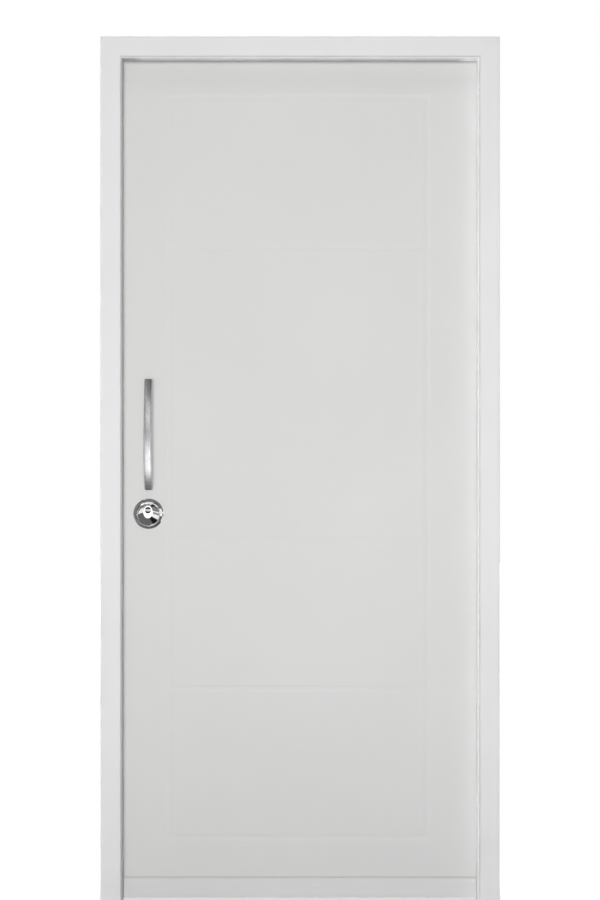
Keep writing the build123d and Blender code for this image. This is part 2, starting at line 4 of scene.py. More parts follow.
import bmesh
import bpy
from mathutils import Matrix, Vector


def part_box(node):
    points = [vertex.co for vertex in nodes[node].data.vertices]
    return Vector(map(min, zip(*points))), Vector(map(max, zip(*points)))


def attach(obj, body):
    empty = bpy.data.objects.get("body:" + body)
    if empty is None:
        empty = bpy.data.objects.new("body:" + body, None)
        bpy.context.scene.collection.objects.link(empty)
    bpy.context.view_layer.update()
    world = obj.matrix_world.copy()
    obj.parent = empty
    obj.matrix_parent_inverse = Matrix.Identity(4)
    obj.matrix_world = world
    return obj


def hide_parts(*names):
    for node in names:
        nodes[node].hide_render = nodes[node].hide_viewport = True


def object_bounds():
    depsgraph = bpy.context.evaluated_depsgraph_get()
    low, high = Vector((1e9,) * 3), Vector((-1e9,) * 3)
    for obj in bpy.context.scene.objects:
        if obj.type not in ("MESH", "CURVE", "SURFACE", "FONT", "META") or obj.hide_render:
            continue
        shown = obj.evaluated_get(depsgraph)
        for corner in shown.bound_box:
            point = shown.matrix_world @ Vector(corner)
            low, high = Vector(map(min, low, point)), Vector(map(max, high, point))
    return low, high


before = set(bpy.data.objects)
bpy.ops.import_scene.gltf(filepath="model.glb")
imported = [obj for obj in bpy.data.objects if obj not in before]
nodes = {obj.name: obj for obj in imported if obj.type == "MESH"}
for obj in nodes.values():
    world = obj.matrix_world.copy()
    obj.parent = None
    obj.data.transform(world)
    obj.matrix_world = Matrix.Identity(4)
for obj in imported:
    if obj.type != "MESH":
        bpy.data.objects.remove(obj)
cad_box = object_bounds()

# Frame members: two jambs and a head, pressed from steel sheet, mitred and welded at the top corners.
# Powder coated in a cool white with a fine orange peel; shoes dull the feet, and a painted shade line
# darkens the crease along the lip.
# Painted shade greys the reveal on the lock side and under the head, and a painted highlight keeps the hinge
# side's reveal near white.
frame_pale = (0.803, 0.801, 0.814, 1.0)
frame_dull = (0.771, 0.769, 0.780, 1.0)
frame_grime_and_shade = (0.300, 0.295, 0.285, 1.0)
frame_painted_highlight = (0.950, 0.950, 0.952, 1.0)
frame_gloss = 0.42
cloud_lumps = 2.2
cloud_detail = 5.0
cloud_range = (0.32, 0.68)
drift_lumps = 35.0
drift_detail = 3.0
drift_range = (0.3, 0.7)
drift_down = 0.04
drift_up = 0.05
peel_lumps = 520.0
peel_height = 0.00012
peel_strength = 0.5
shoe_height = 0.22
shoe_lumps = 14.0
shoe_detail = 4.0
shoe_range = (0.42, 0.75)
shoe_share = 0.12
seam_half_width = 0.0006
crease_at = 0.0488
crease_half_width = 0.0028
crease_share = 0.45
crease_back = 0.006
lock_crease_shift = 0.0016
reveal_from = 0.0512
lock_reveal_from = 0.0492
lock_reveal_shade_share = 0.6
head_reveal_shade_share = 0.42
head_reveal_shade_depth = (0.010, 0.016)
jamb_reach = (0.08, 0.10)


def add_node(tree, kind, sockets=None, **settings):
    """New node; a socket given another node's output is linked to it, and any other value is set."""
    node = tree.nodes.new(kind)
    for name, value in settings.items():
        setattr(node, name, value)
    for name, value in (sockets or {}).items():
        if isinstance(value, bpy.types.NodeSocket):
            tree.links.new(value, node.inputs[name])
        else:
            node.inputs[name].default_value = value
    return node


def blank_finish(name):
    """New material with its tree, its shader and the place of each point in the frame's own metres."""
    finish = bpy.data.materials.new(name)
    finish.use_nodes = True
    tree = finish.node_tree
    place = add_node(tree, "ShaderNodeTexCoord").outputs["Object"]
    return finish, tree, tree.nodes["Principled BSDF"], place


def grain(tree, place, lumps, detail=2.0, stretch=(1.0, 1.0, 1.0)):
    """Noise between 0 and 1 with about that many lumps a metre, drawn out along an axis by stretch."""
    mapped = add_node(tree, "ShaderNodeMapping", {"Vector": place, "Scale": stretch}).outputs["Vector"]
    sockets = {"Vector": mapped, "Scale": lumps, "Detail": detail}
    return add_node(tree, "ShaderNodeTexNoise", sockets).outputs[0]


def span(tree, value, low, high, new_low, new_high):
    """Value carried from low..high to new_low..new_high, and held at the ends."""
    sockets = {"Value": value, 1: low, 2: high, 3: new_low, 4: new_high}
    return add_node(tree, "ShaderNodeMapRange", sockets).outputs[0]


def maths(tree, operation, first, second=0.0):
    """Result of a Math node."""
    return add_node(tree, "ShaderNodeMath", {0: first, 1: second}, operation=operation).outputs[0]


def tint(tree, share, first, second):
    """Colour that goes from first to second as share goes from 0 to 1."""
    sockets = {0: share, 6: first, 7: second}
    return add_node(tree, "ShaderNodeMix", sockets, data_type="RGBA").outputs[2]


def raise_surface(tree, shader, height, reach, strength=1.0):
    """Bump of the shader's surface by height, which goes from 0 to 1 over that reach."""
    bump = add_node(tree, "ShaderNodeBump", {"Height": height, "Distance": reach, "Strength": strength})
    tree.links.new(bump.outputs[0], shader.inputs["Normal"])


def painted_steel(name, pale, dull, gloss):
    """Powder coat: a faint cloud in the colour, gloss that drifts, and the height of its orange peel."""
    finish, tree, shader, place = blank_finish(name)
    cloud = span(tree, grain(tree, place, cloud_lumps, cloud_detail), *cloud_range, 0.0, 1.0)
    colour = tint(tree, cloud, dull, pale)
    drift = grain(tree, place, drift_lumps, drift_detail)
    drift = span(tree, drift, *drift_range, gloss - drift_down, gloss + drift_up)
    tree.links.new(drift, shader.inputs["Roughness"])
    peel = grain(tree, place, peel_lumps)
    return finish, tree, shader, place, colour, peel


frame_coat = painted_steel("frame_paint", frame_pale, frame_dull, frame_gloss)
frame_paint, tree, shader, place, colour, peel = frame_coat
axes = add_node(tree, "ShaderNodeSeparateXYZ", {"Vector": place}).outputs
low_share = span(tree, axes["Z"], 0.0, shoe_height, 1.0, 0.0)
patches = span(tree, grain(tree, place, shoe_lumps, shoe_detail), *shoe_range, 0.0, shoe_share)
colour = tint(tree, maths(tree, "MULTIPLY", low_share, patches), colour, frame_grime_and_shade)
head_low, head_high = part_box("head_jamb")
drop = maths(tree, "SUBTRACT", head_high.z, axes["Z"])
from_hinge_wall = maths(tree, "SUBTRACT", head_high.x, axes["X"])
from_lock_wall = maths(tree, "SUBTRACT", axes["X"], head_low.x)
from_side = maths(tree, "MINIMUM", from_hinge_wall, from_lock_wall)
from_seam = maths(tree, "ABSOLUTE", maths(tree, "SUBTRACT", from_side, drop))
seam = span(tree, from_seam, 0.0, 2 * seam_half_width, 0.0, 1.0)
# Painted shade: a dark line painted into the crease where the lip steps back from the face.
from_lock_crease = maths(tree, "SUBTRACT", from_lock_wall, lock_crease_shift)
from_wall = maths(tree, "MINIMUM", maths(tree, "MINIMUM", from_hinge_wall, from_lock_crease), drop)
from_crease = maths(tree, "ABSOLUTE", maths(tree, "SUBTRACT", from_wall, crease_at))
crease_shade = span(tree, from_crease, 0.0, crease_half_width, crease_share, 0.0)
at_front = span(tree, axes["Y"], head_low.y + crease_back, head_low.y + 2 * crease_back, 1.0, 0.0)
colour = tint(tree, maths(tree, "MULTIPLY", crease_shade, at_front), colour, frame_grime_and_shade)
under_head = span(tree, drop, reveal_from, reveal_from + seam_half_width, 0.0, 1.0)
lock_lip_end = lock_reveal_from + seam_half_width
past_lock_lip = span(tree, from_lock_wall, lock_reveal_from, lock_lip_end, 0.0, 1.0)
past_hinge_lip = span(tree, from_hinge_wall, reveal_from, reveal_from + seam_half_width, 0.0, 1.0)
by_hinges = span(tree, from_hinge_wall, *jamb_reach, 1.0, 0.0)
off_hinges = maths(tree, "SUBTRACT", 1.0, by_hinges)
by_lock = span(tree, from_lock_wall, *jamb_reach, 1.0, 0.0)
# Painted shade: the reveal on the lock side and under the head is painted darker, under the head more so
# deeper in.
deep = [head_low.y + depth for depth in head_reveal_shade_depth]
head_reveal_shade = span(tree, axes["Y"], *deep, 0.0, head_reveal_shade_share)
reveal_shade_strength = span(tree, by_lock, 0.0, 1.0, head_reveal_shade, lock_reveal_shade_share)
inside_lips = maths(tree, "MULTIPLY", under_head, past_lock_lip)
dust = maths(tree, "MULTIPLY", maths(tree, "MULTIPLY", inside_lips, reveal_shade_strength), off_hinges)
colour = tint(tree, dust, colour, frame_grime_and_shade)
# Painted highlight: the hinge side's reveal is painted near white.
hinge_reveal_highlight = maths(tree, "MULTIPLY", maths(tree, "MULTIPLY", inside_lips, past_hinge_lip), by_hinges)
colour = tint(tree, hinge_reveal_highlight, colour, frame_painted_highlight)
tree.links.new(colour, shader.inputs["Base Color"])
raise_surface(tree, shader, maths(tree, "MULTIPLY", peel, seam), peel_height, peel_strength)
for member in ("hinge_jamb", "lock_jamb", "head_jamb"):
    nodes[member].data.materials[0] = frame_paint

# Gaskets: three lengths of extruded rubber, glued to the back of the stop all round the opening.
# Mid grey and matt, with dust in its faint grain, and painted pale on the hinge side as painted light.
rubber_dark = (0.190, 0.190, 0.192, 1.0)
rubber_dusty = (0.255, 0.253, 0.250, 1.0)
rubber_painted_light = (0.88, 0.88, 0.87, 1.0)
rubber_roughness = 0.72
rubber_dust_lumps = 60.0
rubber_dust_detail = 4.0
rubber_dust_range = (0.4, 0.75)
rubber_grain_lumps = 900.0
rubber_grain_height = 0.0001
rubber_grain_strength = 0.6

gasket_rubber, tree, shader, place = blank_finish("gasket_rubber")
dust = grain(tree, place, rubber_dust_lumps, rubber_dust_detail)
dust = span(tree, dust, *rubber_dust_range, 0.0, 1.0)
along = add_node(tree, "ShaderNodeSeparateXYZ", {"Vector": place}).outputs["X"]
# Painted light: the hinge side's length of rubber is painted near white.
hinge_side_light = span(tree, maths(tree, "SUBTRACT", head_high.x, along), *jamb_reach, 1.0, 0.0)
colour = tint(tree, hinge_side_light, tint(tree, dust, rubber_dark, rubber_dusty), rubber_painted_light)
tree.links.new(colour, shader.inputs["Base Color"])
shader.inputs["Roughness"].default_value = rubber_roughness
pores = grain(tree, place, rubber_grain_lumps)
raise_surface(tree, shader, pores, rubber_grain_height, rubber_grain_strength)
for strip in ("hinge_jamb_gasket", "lock_jamb_gasket", "head_gasket"):
    nodes[strip].data.materials[0] = gasket_rubber

# Strike plate: flat steel bar welded behind a window in the lock jamb, with sockets for the bolts.
# Bright zinc plate, faintly clouded, with rolling lines along the bar.
zinc_bright = (0.66, 0.67, 0.68, 1.0)
zinc_dull = (0.50, 0.51, 0.52, 1.0)
zinc_gloss = (0.24, 0.38)
bloom_lumps = 90.0
bloom_detail = 4.0
bloom_range = (0.35, 0.7)
rolling_lumps = 700.0
rolling_detail = 2.0
rolling_stretch = (1.0, 1.0, 0.03)
rolling_height = 0.00004
rolling_strength = 0.5

plated_steel, tree, shader, place = blank_finish("plated_steel")
bloom = span(tree, grain(tree, place, bloom_lumps, bloom_detail), *bloom_range, 0.0, 1.0)
tree.links.new(tint(tree, bloom, zinc_bright, zinc_dull), shader.inputs["Base Color"])
tree.links.new(span(tree, bloom, 0.0, 1.0, *zinc_gloss), shader.inputs["Roughness"])
shader.inputs["Metallic"].default_value = 1.0
rolling = grain(tree, place, rolling_lumps, rolling_detail, rolling_stretch)
raise_surface(tree, shader, rolling, rolling_height, rolling_strength)
nodes["strike_plate"].data.materials[0] = plated_steel

# Leaf edges: steel channels mitred into a closed frame that the two skins are folded and welded on.
# They share the leaf's powder coat, a warm light grey with painted shade along the lock and top edges.
# Painted shade darkens the joint above the bottom strip, and the paint has one small chip.
leaf_pale = (0.711, 0.707, 0.703, 1.0)
leaf_dull = (0.691, 0.687, 0.684, 1.0)
leaf_chip = (0.21, 0.20, 0.19, 1.0)
leaf_gloss = 0.46
chip_place = (-0.795, -0.010, 0.403)
chip_radius = 0.0013
spot_core = 0.4
leaf_painted_shade = (0.17, 0.168, 0.165, 1.0)
lock_edge_shade_reach = (-0.9085, -0.9005)
lock_edge_shade_share = 0.34
top_edge_shade_reach = (2.0325, 2.0255)
top_edge_shade_share = 0.48
outdoor_reach = (0.005, 0.015)
joint_middle = 0.0556
joint_half_height = 0.0028
joint_share = 0.19


def near(tree, place, centre, size):
    """1 at the centre of an ellipsoid of that size, falling to 0 at its edge."""
    shifted = add_node(tree, "ShaderNodeVectorMath", {0: place, 1: centre}, operation="SUBTRACT").outputs[0]
    scaled = add_node(tree, "ShaderNodeVectorMath", {0: shifted, 1: size}, operation="DIVIDE").outputs[0]
    reach = add_node(tree, "ShaderNodeVectorMath", {0: scaled}, operation="LENGTH").outputs["Value"]
    return span(tree, reach, spot_core, 1.0, 1.0, 0.0)


leaf_coat = painted_steel("leaf_paint", leaf_pale, leaf_dull, leaf_gloss)
leaf_paint, tree, shader, place, colour, peel = leaf_coat
chip = near(tree, place, chip_place, (chip_radius,) * 3)
axes = add_node(tree, "ShaderNodeSeparateXYZ", {"Vector": place}).outputs
# Painted shade: dark bands on the outside face along the lock and top edges, beside the frame's lip.
lock_edge_shade = span(tree, axes["X"], *lock_edge_shade_reach, lock_edge_shade_share, 0.0)
top_edge_shade = span(tree, axes["Z"], *top_edge_shade_reach, top_edge_shade_share, 0.0)
# Painted shade: the joint above the bottom strip is painted darker.
from_joint = maths(tree, "ABSOLUTE", maths(tree, "SUBTRACT", axes["Z"], joint_middle))
in_joint = maths(tree, "LESS_THAN", from_joint, joint_half_height)
joint_shade = maths(tree, "MULTIPLY", in_joint, joint_share)
outdoors = span(tree, axes["Y"], *outdoor_reach, 1.0, 0.0)
edge_shade = maths(tree, "MULTIPLY", maths(tree, "MAXIMUM", lock_edge_shade, top_edge_shade), outdoors)
colour = tint(tree, maths(tree, "MAXIMUM", edge_shade, joint_shade), colour, leaf_painted_shade)
tree.links.new(tint(tree, chip, colour, leaf_chip), shader.inputs["Base Color"])
raise_surface(tree, shader, maths(tree, "SUBTRACT", peel, chip), peel_height, peel_strength)
for channel in ("lock_stile", "hinge_stile", "top_rail", "bottom_rail"):
    nodes[channel].data.materials[0] = leaf_paint

# Skins: steel sheets with the groove pattern pressed in, one on each face of the leaf.
# The press leaves every groove wall as one smooth bend, so the copies here shade without facets,
# and a crisp fold only where two walls meet at a corner of the pattern.
weld_distance = 0.000002
flat_angle = radians(0.2)
crease_angle = radians(40)
slant_share = 0.3
wide_face_weight = 100


def merged_copy(node, piece):
    """Closed copy of a CAD node with its flat triangles joined, not yet linked to a body."""
    solid = nodes[node].data
    mesh = bpy.data.meshes.new(piece)
    mesh.from_pydata([v.co for v in solid.vertices], [], [p.vertices for p in solid.polygons])
    shell = bmesh.new()
    shell.from_mesh(mesh)
    bmesh.ops.remove_doubles(shell, verts=shell.verts, dist=weld_distance)
    bmesh.ops.dissolve_limit(shell, angle_limit=flat_angle, verts=shell.verts, edges=shell.edges)
    shell.to_mesh(mesh)
    shell.free()
    mesh.shade_smooth()
    mesh.set_sharp_from_angle(angle=crease_angle)
    copy = bpy.data.objects.new(piece, mesh)
    bpy.context.scene.collection.objects.link(copy)
    return copy


def settle(piece):
    """The piece's modifiers made part of its mesh."""
    drawn = piece.evaluated_get(bpy.context.evaluated_depsgraph_get())
    mesh = bpy.data.meshes.new_from_object(drawn)
    piece.modifiers.clear()
    piece.data = mesh
    mesh.name = piece.name


def fold_corners(mesh):
    """Sharp edges where an upright wall meets a level one, which are the slanting edges of the sheet."""
    folds = mesh.attributes["sharp_edge"].data
    for edge in mesh.edges:
        start, end = (mesh.vertices[index].co for index in edge.vertices)
        run = end - start
        if min(abs(run.x), abs(run.z)) > slant_share * run.length:
            folds[edge.index].value = True


for node in ("outer_skin", "inner_skin"):
    sheet = merged_copy(node, node + "_sheet")
    fold_corners(sheet.data)
    sheet.data.materials.append(leaf_paint)
    bend = sheet.modifiers.new("even_bends", "WEIGHTED_NORMAL")
    bend.keep_sharp = True
    bend.weight = wide_face_weight
    settle(sheet)
    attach(sheet, "leaf")
    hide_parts(node)

# Bottom strips: flat bars fixed along the foot of the leaf, one on each face, with their edges eased.
# Painted like the leaf and scuffed by shoes; the outside one has two rubbed spots.
strip_pale = (0.722, 0.720, 0.718, 1.0)
strip_dull = (0.684, 0.682, 0.680, 1.0)
strip_rubbed = (0.74, 0.735, 0.73, 1.0)
strip_edge = 0.0006
strip_edge_steps = 2
scuff_lumps = 120.0
scuff_detail = 5.0
scuff_stretch = (0.15, 1.0, 1.0)
scuff_range = (0.58, 0.8)
scuff_share = 0.35
rub_places = ((-0.4436, -0.011, 0.037), (-0.0606, -0.011, 0.0467))
rub_size = (0.008, 0.02, 0.004)
rub_share = 0.8

strip_coat = painted_steel("strip_paint", strip_pale, strip_dull, leaf_gloss)
strip_paint, tree, shader, place, colour, peel = strip_coat
scuffs = grain(tree, place, scuff_lumps, scuff_detail, scuff_stretch)
scuffs = span(tree, scuffs, *scuff_range, 0.0, scuff_share)
rubs = maths(tree, "ADD", *[near(tree, place, rub, rub_size) for rub in rub_places])
wear = maths(tree, "MAXIMUM", scuffs, maths(tree, "MULTIPLY", rubs, rub_share))
tree.links.new(tint(tree, wear, colour, strip_rubbed), shader.inputs["Base Color"])
raise_surface(tree, shader, maths(tree, "SUBTRACT", peel, wear), peel_height, peel_strength)
for node in ("bottom_strip_outside", "bottom_strip_inside"):
    bar = merged_copy(node, node + "_bar")
    bar.data.materials.append(strip_paint)
    ease = bar.modifiers.new("eased_edges", "BEVEL")
    ease.width = strip_edge
    ease.segments = strip_edge_steps
    ease.limit_method = "ANGLE"
    ease.angle_limit = crease_angle
    ease.harden_normals = True
    settle(bar)
    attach(bar, "leaf")
    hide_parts(node)

# Hinges: three lift-off hinges, each with a frame half, a leaf half and a plated pin between them.
# The halves are welded up from plate and barrel and painted with what they are on.
# Plated screws with a hexagonal socket hold them through their plates.
screw_head_radius = 0.0048
screw_head_rise = 0.0012
screw_head_sides = 28
screw_crown_share = 0.82
screw_socket_radius = 0.0022
screw_socket_sides = 6
screw_rows = (-0.018, 0.018)
frame_screw_from_edge = 0.012
leaf_screw_from_edge = 0.014
hinge_plate_thickness = 0.004
indoors = (0.0, 1.0, 0.0)


def screw_tree():
    """Geometry Nodes tree: a low screw head with a hexagonal socket on every point, facing its way."""
    tree = bpy.data.node_groups.new("screw_heads", "GeometryNodeTree")
    socket = tree.interface.new_socket
    socket("Geometry", in_out="INPUT", socket_type="NodeSocketGeometry")
    for name in ("Head Radius", "Head Rise", "Socket Radius"):
        socket(name, in_out="INPUT", socket_type="NodeSocketFloat")
    socket("Plating", in_out="INPUT", socket_type="NodeSocketMaterial")
    socket("Geometry", in_out="OUTPUT", socket_type="NodeSocketGeometry")
    given = tree.nodes.new("NodeGroupInput").outputs
    head_sockets = {
        "Vertices": screw_head_sides,
        "Radius Top": maths(tree, "MULTIPLY", given["Head Radius"], screw_crown_share),
        "Radius Bottom": given["Head Radius"],
        "Depth": given["Head Rise"],
    }
    head = add_node(tree, "GeometryNodeMeshCone", head_sockets).outputs["Mesh"]
    well_sockets = {
        "Vertices": screw_socket_sides,
        "Radius": given["Socket Radius"],
        "Depth": given["Head Rise"],
    }
    well = add_node(tree, "GeometryNodeMeshCylinder", well_sockets).outputs["Mesh"]
    lift = add_node(tree, "ShaderNodeCombineXYZ", {"Z": given["Head Rise"]}).outputs[0]
    sunk = add_node(tree, "GeometryNodeTransform", {"Geometry": well, "Translation": lift}).outputs[0]
    cut = add_node(tree, "GeometryNodeMeshBoolean", {"Mesh 1": head, "Mesh 2": sunk}, operation="DIFFERENCE")
    facing = add_node(tree, "GeometryNodeInputNamedAttribute", {"Name": "facing"}, data_type="FLOAT_VECTOR")
    turn = add_node(tree, "FunctionNodeAlignRotationToVector", {"Vector": facing.outputs[0]}, axis="Z")
    spots = add_node(tree, "GeometryNodeMeshToPoints", {"Mesh": given["Geometry"]}).outputs[0]
    set_sockets = {"Points": spots, "Instance": cut.outputs["Mesh"], "Rotation": turn.outputs[0]}
    row = add_node(tree, "GeometryNodeInstanceOnPoints", set_sockets).outputs[0]
    real = add_node(tree, "GeometryNodeRealizeInstances", {"Geometry": row}).outputs[0]
    plating_sockets = {"Geometry": real, "Material": given["Plating"]}
    plated = add_node(tree, "GeometryNodeSetMaterial", plating_sockets).outputs[0]
    out = tree.nodes.new("NodeGroupOutput")
    tree.links.new(plated, out.inputs["Geometry"])
    return tree


def screws(piece, body, spots):
    """One mesh of screw heads at (place, facing) spots, riding on the body."""
    mesh = bpy.data.meshes.new(piece)
    mesh.from_pydata([place for place, facing in spots], [], [])
    ways = mesh.attributes.new("facing", "FLOAT_VECTOR", "POINT")
    for way, (place, facing) in zip(ways.data, spots):
        way.vector = facing
    heads = bpy.data.objects.new(piece, mesh)
    bpy.context.scene.collection.objects.link(heads)
    sizes = {
        "Head Radius": screw_head_radius,
        "Head Rise": screw_head_rise,
        "Socket Radius": screw_socket_radius,
        "Plating": plated_steel,
    }
    growth = heads.modifiers.new("screw_heads", "NODES")
    growth.node_group = screw_heads
    for item in screw_heads.interface.items_tree:
        if item.in_out == "INPUT" and item.name in sizes:
            growth[item.identifier] = sizes[item.name]
    settle(heads)
    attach(heads, body)


screw_heads = screw_tree()
frame_spots = []
leaf_spots = []
for position in ("lower", "middle", "upper"):
    nodes[f"{position}_hinge_frame_half"].data.materials[0] = frame_paint
    nodes[f"{position}_hinge_leaf_half"].data.materials[0] = leaf_paint
    nodes[f"{position}_hinge_pin"].data.materials[0] = plated_steel
    low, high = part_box(f"{position}_hinge_frame_half")
    for row in screw_rows:
        height = (low.z + high.z) / 2 + row
        spot = (high.x - frame_screw_from_edge, low.y + hinge_plate_thickness, height)
        frame_spots.append((spot, indoors))
    low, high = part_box(f"{position}_hinge_leaf_half")
    for row in screw_rows:
        height = (low.z + high.z) / 2 + row
        spot = (low.x + leaf_screw_from_edge, low.y + hinge_plate_thickness, height)
        leaf_spots.append((spot, indoors))
screws("hinge_frame_screws", "frame", frame_spots)

# Lock gear: a forend behind a window in the leaf's edge, with three dead bolts and a latch drawn back in it.
# Plated steel like the strike, held to the edge channel by a screw near each end of the forend.
# The dog bolts on the hinge edge are plated studs that stand in sockets of the frame.
forend_screw_from_end = 0.017
lockwards = (-1.0, 0.0, 0.0)

for piece in ("lock_forend", "dead_bolts", "latch_bolt", "dog_bolts"):
    nodes[piece].data.materials[0] = plated_steel
low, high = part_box("lock_forend")
for height in (low.z + forend_screw_from_end, high.z - forend_screw_from_end):
    leaf_spots.append(((low.x, (low.y + high.y) / 2, height), lockwards))
screws("leaf_screws", "leaf", leaf_spots)

# Escutcheon: a turned and polished security rose that shields the lock, with a dome drawn out to an oval.
# Bright chrome plate with a few hairline polishing marks and faint smears.
chrome_bright = (0.84, 0.85, 0.85, 1.0)
chrome_smeared = (0.74, 0.75, 0.75, 1.0)
chrome_gloss = (0.07, 0.14)
smear_lumps = 70.0
smear_detail = 3.0
smear_range = (0.45, 0.75)
hairline_lumps = 1500.0
hairline_detail = 1.0
hairline_stretch = (1.0, 1.0, 0.05)
hairline_height = 0.00001
hairline_strength = 0.3

lock_chrome, tree, shader, place = blank_finish("lock_chrome")
smear = span(tree, grain(tree, place, smear_lumps, smear_detail), *smear_range, 0.0, 1.0)
tree.links.new(tint(tree, smear, chrome_bright, chrome_smeared), shader.inputs["Base Color"])
tree.links.new(span(tree, smear, 0.0, 1.0, *chrome_gloss), shader.inputs["Roughness"])
shader.inputs["Metallic"].default_value = 1.0
hairlines = grain(tree, place, hairline_lumps, hairline_detail, hairline_stretch)
raise_surface(tree, shader, hairlines, hairline_height, hairline_strength)
nodes["lock_escutcheon"].data.materials[0] = lock_chrome

# Key plug: the turning part of the cylinder, a steel disc coloured near black round the keyway's raised bar.
# The bar is bare nickel silver, rubbed bright by keys and scraped round the keyway.
plug_black = (0.045, 0.045, 0.047, 1.0)
plug_bright = (0.74, 0.73, 0.70, 1.0)
plug_scraped = (0.52, 0.51, 0.48, 1.0)
plug_gloss = (0.22, 0.36)
bar_half_height = 0.0026
scrape_lumps = 800.0
scrape_detail = 3.0
scrape_range = (0.4, 0.7)
scrape_height = 0.00002
scrape_strength = 0.4

plug_steel, tree, shader, place = blank_finish("plug_steel")
scrape = span(tree, grain(tree, place, scrape_lumps, scrape_detail), *scrape_range, 0.0, 1.0)
low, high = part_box("key_plug")
axes = add_node(tree, "ShaderNodeSeparateXYZ", {"Vector": place}).outputs
from_bar = maths(tree, "ABSOLUTE", maths(tree, "SUBTRACT", axes["Z"], (low.z + high.z) / 2))
on_bar = maths(tree, "LESS_THAN", from_bar, bar_half_height)
metal = tint(tree, scrape, plug_bright, plug_scraped)
tree.links.new(tint(tree, on_bar, plug_black, metal), shader.inputs["Base Color"])
tree.links.new(span(tree, scrape, 0.0, 1.0, *plug_gloss), shader.inputs["Roughness"])
shader.inputs["Metallic"].default_value = 1.0
raise_surface(tree, shader, scrape, scrape_height, scrape_strength)
nodes["key_plug"].data.materials[0] = plug_steel

# Pull handle: a flat bar bowed on one arc, bolted through the leaf on two round feet.
# Stainless steel, brushed along its length and then lightly polished, which leaves a faint crown across it.
bar_bright = (0.60, 0.595, 0.605, 1.0)
bar_dull = (0.47, 0.465, 0.475, 1.0)
bar_gloss = (0.15, 0.23)
bar_crown = 0.0003
brush_lumps = 900.0
brush_detail = 3.0
brush_stretch = (1.0, 1.0, 0.012)
brush_range = (0.3, 0.7)
brush_share = 0.05

handle_steel, tree, shader, place = blank_finish("handle_steel")
brush = grain(tree, place, brush_lumps, brush_detail, brush_stretch)
streaks = span(tree, brush, *brush_range, 0.0, 1.0)
tree.links.new(tint(tree, streaks, bar_bright, bar_dull), shader.inputs["Base Color"])
tree.links.new(span(tree, brush, *brush_range, *bar_gloss), shader.inputs["Roughness"])
shader.inputs["Metallic"].default_value = 1.0
low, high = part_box("pull_handle_bow")
across = add_node(tree, "ShaderNodeSeparateXYZ", {"Vector": place}).outputs["X"]
from_middle = maths(tree, "SUBTRACT", across, (low.x + high.x) / 2)
edge_share = maths(tree, "DIVIDE", from_middle, (high.x - low.x) / 2)
crown = maths(tree, "SUBTRACT", 1.0, maths(tree, "MULTIPLY", edge_share, edge_share))
relief = maths(tree, "ADD", crown, maths(tree, "MULTIPLY", brush, brush_share))
raise_surface(tree, shader, relief, bar_crown)
for piece in ("pull_handle_bow", "pull_handle_upper_foot", "pull_handle_lower_foot"):
    nodes[piece].data.materials[0] = handle_steel

# Inside furniture: a lever for the latch and a thumb turn for the bolts, each on a round rosette.
# Satin stainless steel, brushed along the lever and across the rosettes.
satin_bright = (0.62, 0.61, 0.60, 1.0)
satin_dull = (0.50, 0.495, 0.49, 1.0)
satin_gloss = (0.26, 0.4)
satin_lumps = 1000.0
satin_stretch = (0.02, 1.0, 1.0)
satin_height = 0.00003
satin_strength = 0.5

inside_steel, tree, shader, place = blank_finish("inside_steel")
brush = grain(tree, place, satin_lumps, brush_detail, satin_stretch)
streaks = span(tree, brush, *brush_range, 0.0, 1.0)
tree.links.new(tint(tree, streaks, satin_bright, satin_dull), shader.inputs["Base Color"])
tree.links.new(span(tree, brush, *brush_range, *satin_gloss), shader.inputs["Roughness"])
shader.inputs["Metallic"].default_value = 1.0
raise_surface(tree, shader, brush, satin_height, satin_strength)
for piece in ("inside_lock_rosette", "lever_rosette", "thumb_turn", "inside_lever"):
    nodes[piece].data.materials[0] = inside_steel

# Studio floor: a pale matt board under the door, which fades to the white of the room before it ends.
# It reads white to the camera and in the metal, and keeps the door's soft shadow, with a painted contact
# shadow where its glow drops right round the door's foot.
floor_half = 9.0
floor_drop = 0.0006
floor_colour = (0.5, 0.5, 0.5, 1.0)
floor_glow = (0.58, 0.8, 1.0)
contact_shadow_reach = 0.05
floor_fade = (1.6, 4.0)


def seen_share(tree):
    """1 for what the camera, a reflection or glass sees, and 0 for light that only brightens the object."""
    path = add_node(tree, "ShaderNodeLightPath").outputs
    mirrored = maths(tree, "MAXIMUM", path["Is Glossy Ray"], path["Is Transmission Ray"])
    return maths(tree, "MAXIMUM", path["Is Camera Ray"], mirrored)


def board(name, corners):
    """Flat four-cornered stage piece."""
    mesh = bpy.data.meshes.new(name)
    mesh.from_pydata(corners, [], [(0, 1, 2, 3)])
    piece = bpy.data.objects.new(name, mesh)
    bpy.context.scene.collection.objects.link(piece)
    return piece


def level(height, across, along):
    """Corners of a level board, given its two ends across the door and its two ends along the view."""
    (left, right), (near_end, far_end) = across, along
    ends = ((left, near_end), (right, near_end), (right, far_end), (left, far_end))
    return [(x, y, height) for x, y in ends]


